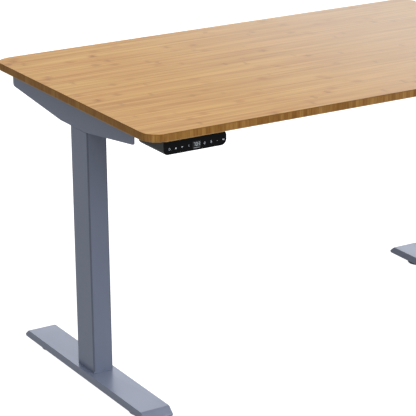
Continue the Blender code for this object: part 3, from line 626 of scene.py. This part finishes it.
def make_clip(bm, at, towards, radius):
    """A saddle stuck under the desktop, with a strap that runs under a lead."""
    ahead = Vector((towards[0], towards[1], 0.0)).normalized()
    across = Vector((-ahead.y, ahead.x, 0.0))
    gap, thick, foot, half = 0.0002, 0.0012, 0.0095, 0.0045
    roof = UNDER_Z - gap - at[2]
    inside, outside = radius + gap, radius + thick
    arc = [math.pi * i / 16 for i in range(17)]
    outline = [(-foot, roof), (-foot, roof - thick), (-outside, roof - thick)]
    outline += [(-outside * math.cos(a), -outside * math.sin(a)) for a in arc]
    outline += [(outside, roof - thick), (foot, roof - thick), (foot, roof), (inside, roof)]
    outline += [(inside * math.cos(a), -inside * math.sin(a)) for a in arc]
    outline += [(-inside, roof)]
    axis = (ahead, across, Vector((0, 0, 1)))
    extrude(bm, outline, -half, half, axis, at)


def make_wiring():
    lead_z = UNDER_Z - LEAD_DROP
    clips = bmesh.new()
    for at, towards in (
        ((-0.290, 0.003), (1.0, -0.115)), ((0.250, 0.037), (-1.0, 0.055)),
        ((0.160, 0.040), (-1.0, 0.012)), ((0.040, 0.040), (-1.0, 0.0)),
        ((-0.080, 0.040), (-1.0, 0.0)),
    ):
        make_clip(clips, (*at, lead_z), towards, MOTOR_LEAD_R)
    for at, towards in (((-0.490, -0.205), (0.13, 1.0)), ((-0.240, -0.033), (1.0, 0.06))):
        make_clip(clips, (*at, lead_z), towards, KEYPAD_LEAD_R)
    add_piece("cable_clips", clips, "black_plastic", "upper")

    plugs = bmesh.new()
    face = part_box("socket_block")[0].x - 0.0002
    socket_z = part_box("control_box_cover")[0].z + 0.015
    neck = [(0.0044, 0.0), (0.0040, -0.0015), (0.0030, -0.0085), (0.0027, -0.0090)]
    for y, height in ((-0.032, 0.008), (-0.014, 0.010), (0.004, 0.010)):
        shape = rounded_rect(0.0125, height, 0.0015, 5, (y, socket_z))
        extrude(plugs, shape, face, face - PLUG_LENGTH, "X", chamfer=0.0008)
        turn(plugs, neck, (face - PLUG_LENGTH, y, socket_z), "X", 24)
    for label, side in SIDES:
        low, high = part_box(f"motor_{label}")
        end = high.x if side < 0 else low.x
        boot = [(0.0062, 0.0), (0.0060, -side * 0.0015), (0.0046, -side * 0.0030),
                (0.0040, -side * 0.0110), (0.0030, -side * 0.0125)]
        turn(plugs, boot, (end, *MOTOR_LEAD_AT), "X", 24)
    keypad_low, keypad_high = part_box("keypad_housing")
    boot = [(0.0045, 0.0), (0.0042, 0.0010), (0.0030, 0.0080), (0.0024, 0.0085)]
    at = ((keypad_low.x + keypad_high.x) / 2, keypad_high.y, KEYPAD_LEAD_Z)
    turn(plugs, boot, at, "Y", 24)
    add_piece("plugs_and_boots", plugs, "black_plastic", "upper")

    for label, side in SIDES:
        caps = bmesh.new()
        low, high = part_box(f"motor_{label}")
        end = high.x if side < 0 else low.x
        mid_y, mid_z = (low.y + high.y) / 2, (low.z + high.z) / 2
        cap = [(0.0080, 0.0006), (0.0170, 0.0006), (0.0204, -0.0010), (0.0206, -0.0030),
               (0.0206, -0.0130), (0.0203, -0.0135), (0.0203, -0.0150), (0.0080, -0.0150)]
        turn(caps, [(r, -side * at) for r, at in cap], (end, mid_y, mid_z), "X", 48, ring=True)
        add_piece(f"motor_cap_{label}", caps, "black_plastic", "upper")


def make_box_details():
    low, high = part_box("control_box_cover")
    mid_y = (low.y + high.y) / 2
    ribs = bmesh.new()
    first_rib, rib_pitch, rib_count = 0.040, 0.006, 11
    for i in range(rib_count):
        shape = rounded_rect(0.0026, 0.046, 0.0012, 4, (first_rib + rib_pitch * i, mid_y))
        extrude(ribs, shape, low.z + 0.0004, low.z - 0.0008, "Z", chamfer=0.0003)
    add_piece("control_box_ribs", ribs, "black_plastic", "upper")
    plate = bmesh.new()
    shape = rounded_rect(0.070, 0.040, 0.0020, 5, (-0.050, mid_y))
    extrude(plate, shape, low.z - 0.00005, low.z - 0.00035, "Z")
    add_piece("control_box_blank_label", plate, "label", "upper")

    pins = bmesh.new()
    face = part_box("power_inlet")[0].x + 0.002
    mid_z = low.z + 0.0155
    for y, z in ((mid_y, mid_z + 0.0030), (mid_y - 0.0068, mid_z - 0.0022),
                 (mid_y + 0.0068, mid_z - 0.0022)):
        blade = rounded_rect(0.0020, 0.0042, 0.0006, 4, (y, z))
        extrude(pins, blade, face, face + 0.0095, "X", chamfer=0.0005)
    add_piece("inlet_pins", pins, "screw_steel", "upper")


make_icons()
make_fixings()
make_glides()
make_wiring()
make_box_details()


# ---- camera, surroundings and light ------------------------------------------------------
CAMERA_AT = (-2.4633, -3.7083, 1.8366)
CAMERA_YAW, CAMERA_PITCH, CAMERA_ROLL = 0.5394, 0.3282, -0.0099  # radians
CAMERA_LENS, CAMERA_SENSOR = 166.53, 36.0  # mm


def make_camera():
    yaw, pitch, roll = CAMERA_YAW, CAMERA_PITCH, CAMERA_ROLL
    ahead = Vector((math.sin(yaw), math.cos(yaw), 0.0))
    right = Vector((math.cos(yaw), -math.sin(yaw), 0.0))
    up = Vector((0.0, 0.0, 1.0))
    forward = ahead * math.cos(pitch) - up * math.sin(pitch)
    above = ahead * math.sin(pitch) + up * math.cos(pitch)
    x_axis = right * math.cos(roll) + above * math.sin(roll)
    y_axis = above * math.cos(roll) - right * math.sin(roll)
    facing = Matrix((x_axis, y_axis, -forward)).transposed().to_4x4()
    data = bpy.data.cameras.new("camera")
    data.sensor_width = CAMERA_SENSOR
    data.lens = CAMERA_LENS
    data.clip_start, data.clip_end = 0.05, 100.0
    camera = bpy.data.objects.new("camera", data)
    camera.matrix_world = Matrix.Translation(CAMERA_AT) @ facing
    bpy.context.scene.collection.objects.link(camera)
    bpy.context.scene.camera = camera


WORLD_COLOUR = (0.96, 0.975, 1.0, 1.0)
WORLD_LOBES = (  # direction, cosine where it starts and where it is full, radiance
    ((0.0, 0.0, -1.0), 0.0, 0.35, 0.516),
    ((0.5, 0.85, 0.25), 0.5, 0.95, 1.433),
    ((0.85, 0.5, 0.25), 0.75, 0.98, 0.595),
    ((0.0, -0.7, 0.7), 0.75, 0.98, 3.615),
    ((0.0, -0.42, 0.9), 0.8, 0.98, 0.442),
    ((-0.95, -0.15, 0.25), 0.6, 0.95, 0.231),
    ((-0.64, -0.1, 0.76), 0.75, 0.98, 0.679),
)
FLOOR_GLOW = 1.0
STUDIO_RADIUS = 30.0


def make_world():
    """Soft studio light from wide patches: behind, above in front, at the left and below."""
    world = bpy.data.worlds.new("studio")
    bpy.context.scene.world = world
    world.use_nodes = True
    tree = world.node_tree
    place = tree.nodes.new("ShaderNodeTexCoord").outputs["Generated"]

    def lobe(direction, low, high, strength):
        dot = tree.nodes.new("ShaderNodeVectorMath")
        dot.operation = "DOT_PRODUCT"
        tree.links.new(place, dot.inputs[0])
        dot.inputs[1].default_value = Vector(direction).normalized()
        ramp = tree.nodes.new("ShaderNodeMapRange")
        ramp.interpolation_type = "SMOOTHSTEP"
        tree.links.new(dot.outputs["Value"], ramp.inputs["Value"])
        for socket, value in (("From Min", low), ("From Max", high), ("To Max", strength)):
            ramp.inputs[socket].default_value = value
        return ramp.outputs[0]

    total = None
    for direction, low, high, strength in WORLD_LOBES:
        value = lobe(direction, low, high, strength)
        if total is None:
            total = value
            continue
        add = tree.nodes.new("ShaderNodeMath")
        tree.links.new(total, add.inputs[0])
        tree.links.new(value, add.inputs[1])
        total = add.outputs[0]
    background = tree.nodes["Background"]
    background.inputs["Color"].default_value = WORLD_COLOUR
    tree.links.new(total, background.inputs["Strength"])


def stage_piece(name, bm, material):
    """Part of the studio: the camera sees it, but it neither lights nor is mirrored in the desk."""
    mesh = bpy.data.meshes.new(name)
    bm.to_mesh(mesh)
    bm.free()
    mesh.materials.append(material)
    piece = bpy.data.objects.new(name, mesh)
    bpy.context.scene.collection.objects.link(piece)
    piece.visible_diffuse = False
    piece.visible_glossy = False
    return piece


def make_surroundings():
    """A pale floor that is clear from below, inside a pale sphere that is clear from outside."""
    m = Paint("studio_floor", Roughness=0.9, Emission_Color=(1.0, 1.0, 1.0, 1.0))
    m.shader.inputs["Emission Strength"].default_value = FLOOR_GLOW
    cloud = m.noise((0.5, 0.5, 0.5), 2.0)
    m.put("Base Color", m.mix(cloud, (0.28, 0.28, 0.28), (0.32, 0.32, 0.32)))
    clear = m.add("BsdfTransparent").outputs[0]
    seen = m.add("NewGeometry").outputs["Backfacing"]
    mixed = m.add("MixShader", {0: seen, 1: m.shader.outputs[0], 2: clear}).outputs[0]
    m.tree.links.new(mixed, m.tree.nodes["Material Output"].inputs["Surface"])

    disc = bmesh.new()
    bmesh.ops.create_circle(disc, cap_ends=True, segments=96, radius=STUDIO_RADIUS)
    stage_piece("floor", disc, m.material)

    sphere = bmesh.new()
    bmesh.ops.create_uvsphere(sphere, u_segments=96, v_segments=48, radius=STUDIO_RADIUS)
    bmesh.ops.reverse_faces(sphere, faces=sphere.faces)
    stage_piece("backdrop", sphere, m.material).visible_shadow = False


def make_studio():
    make_world()
    make_surroundings()
    bpy.context.scene.view_settings.view_transform = "Standard"


make_camera()
make_studio()
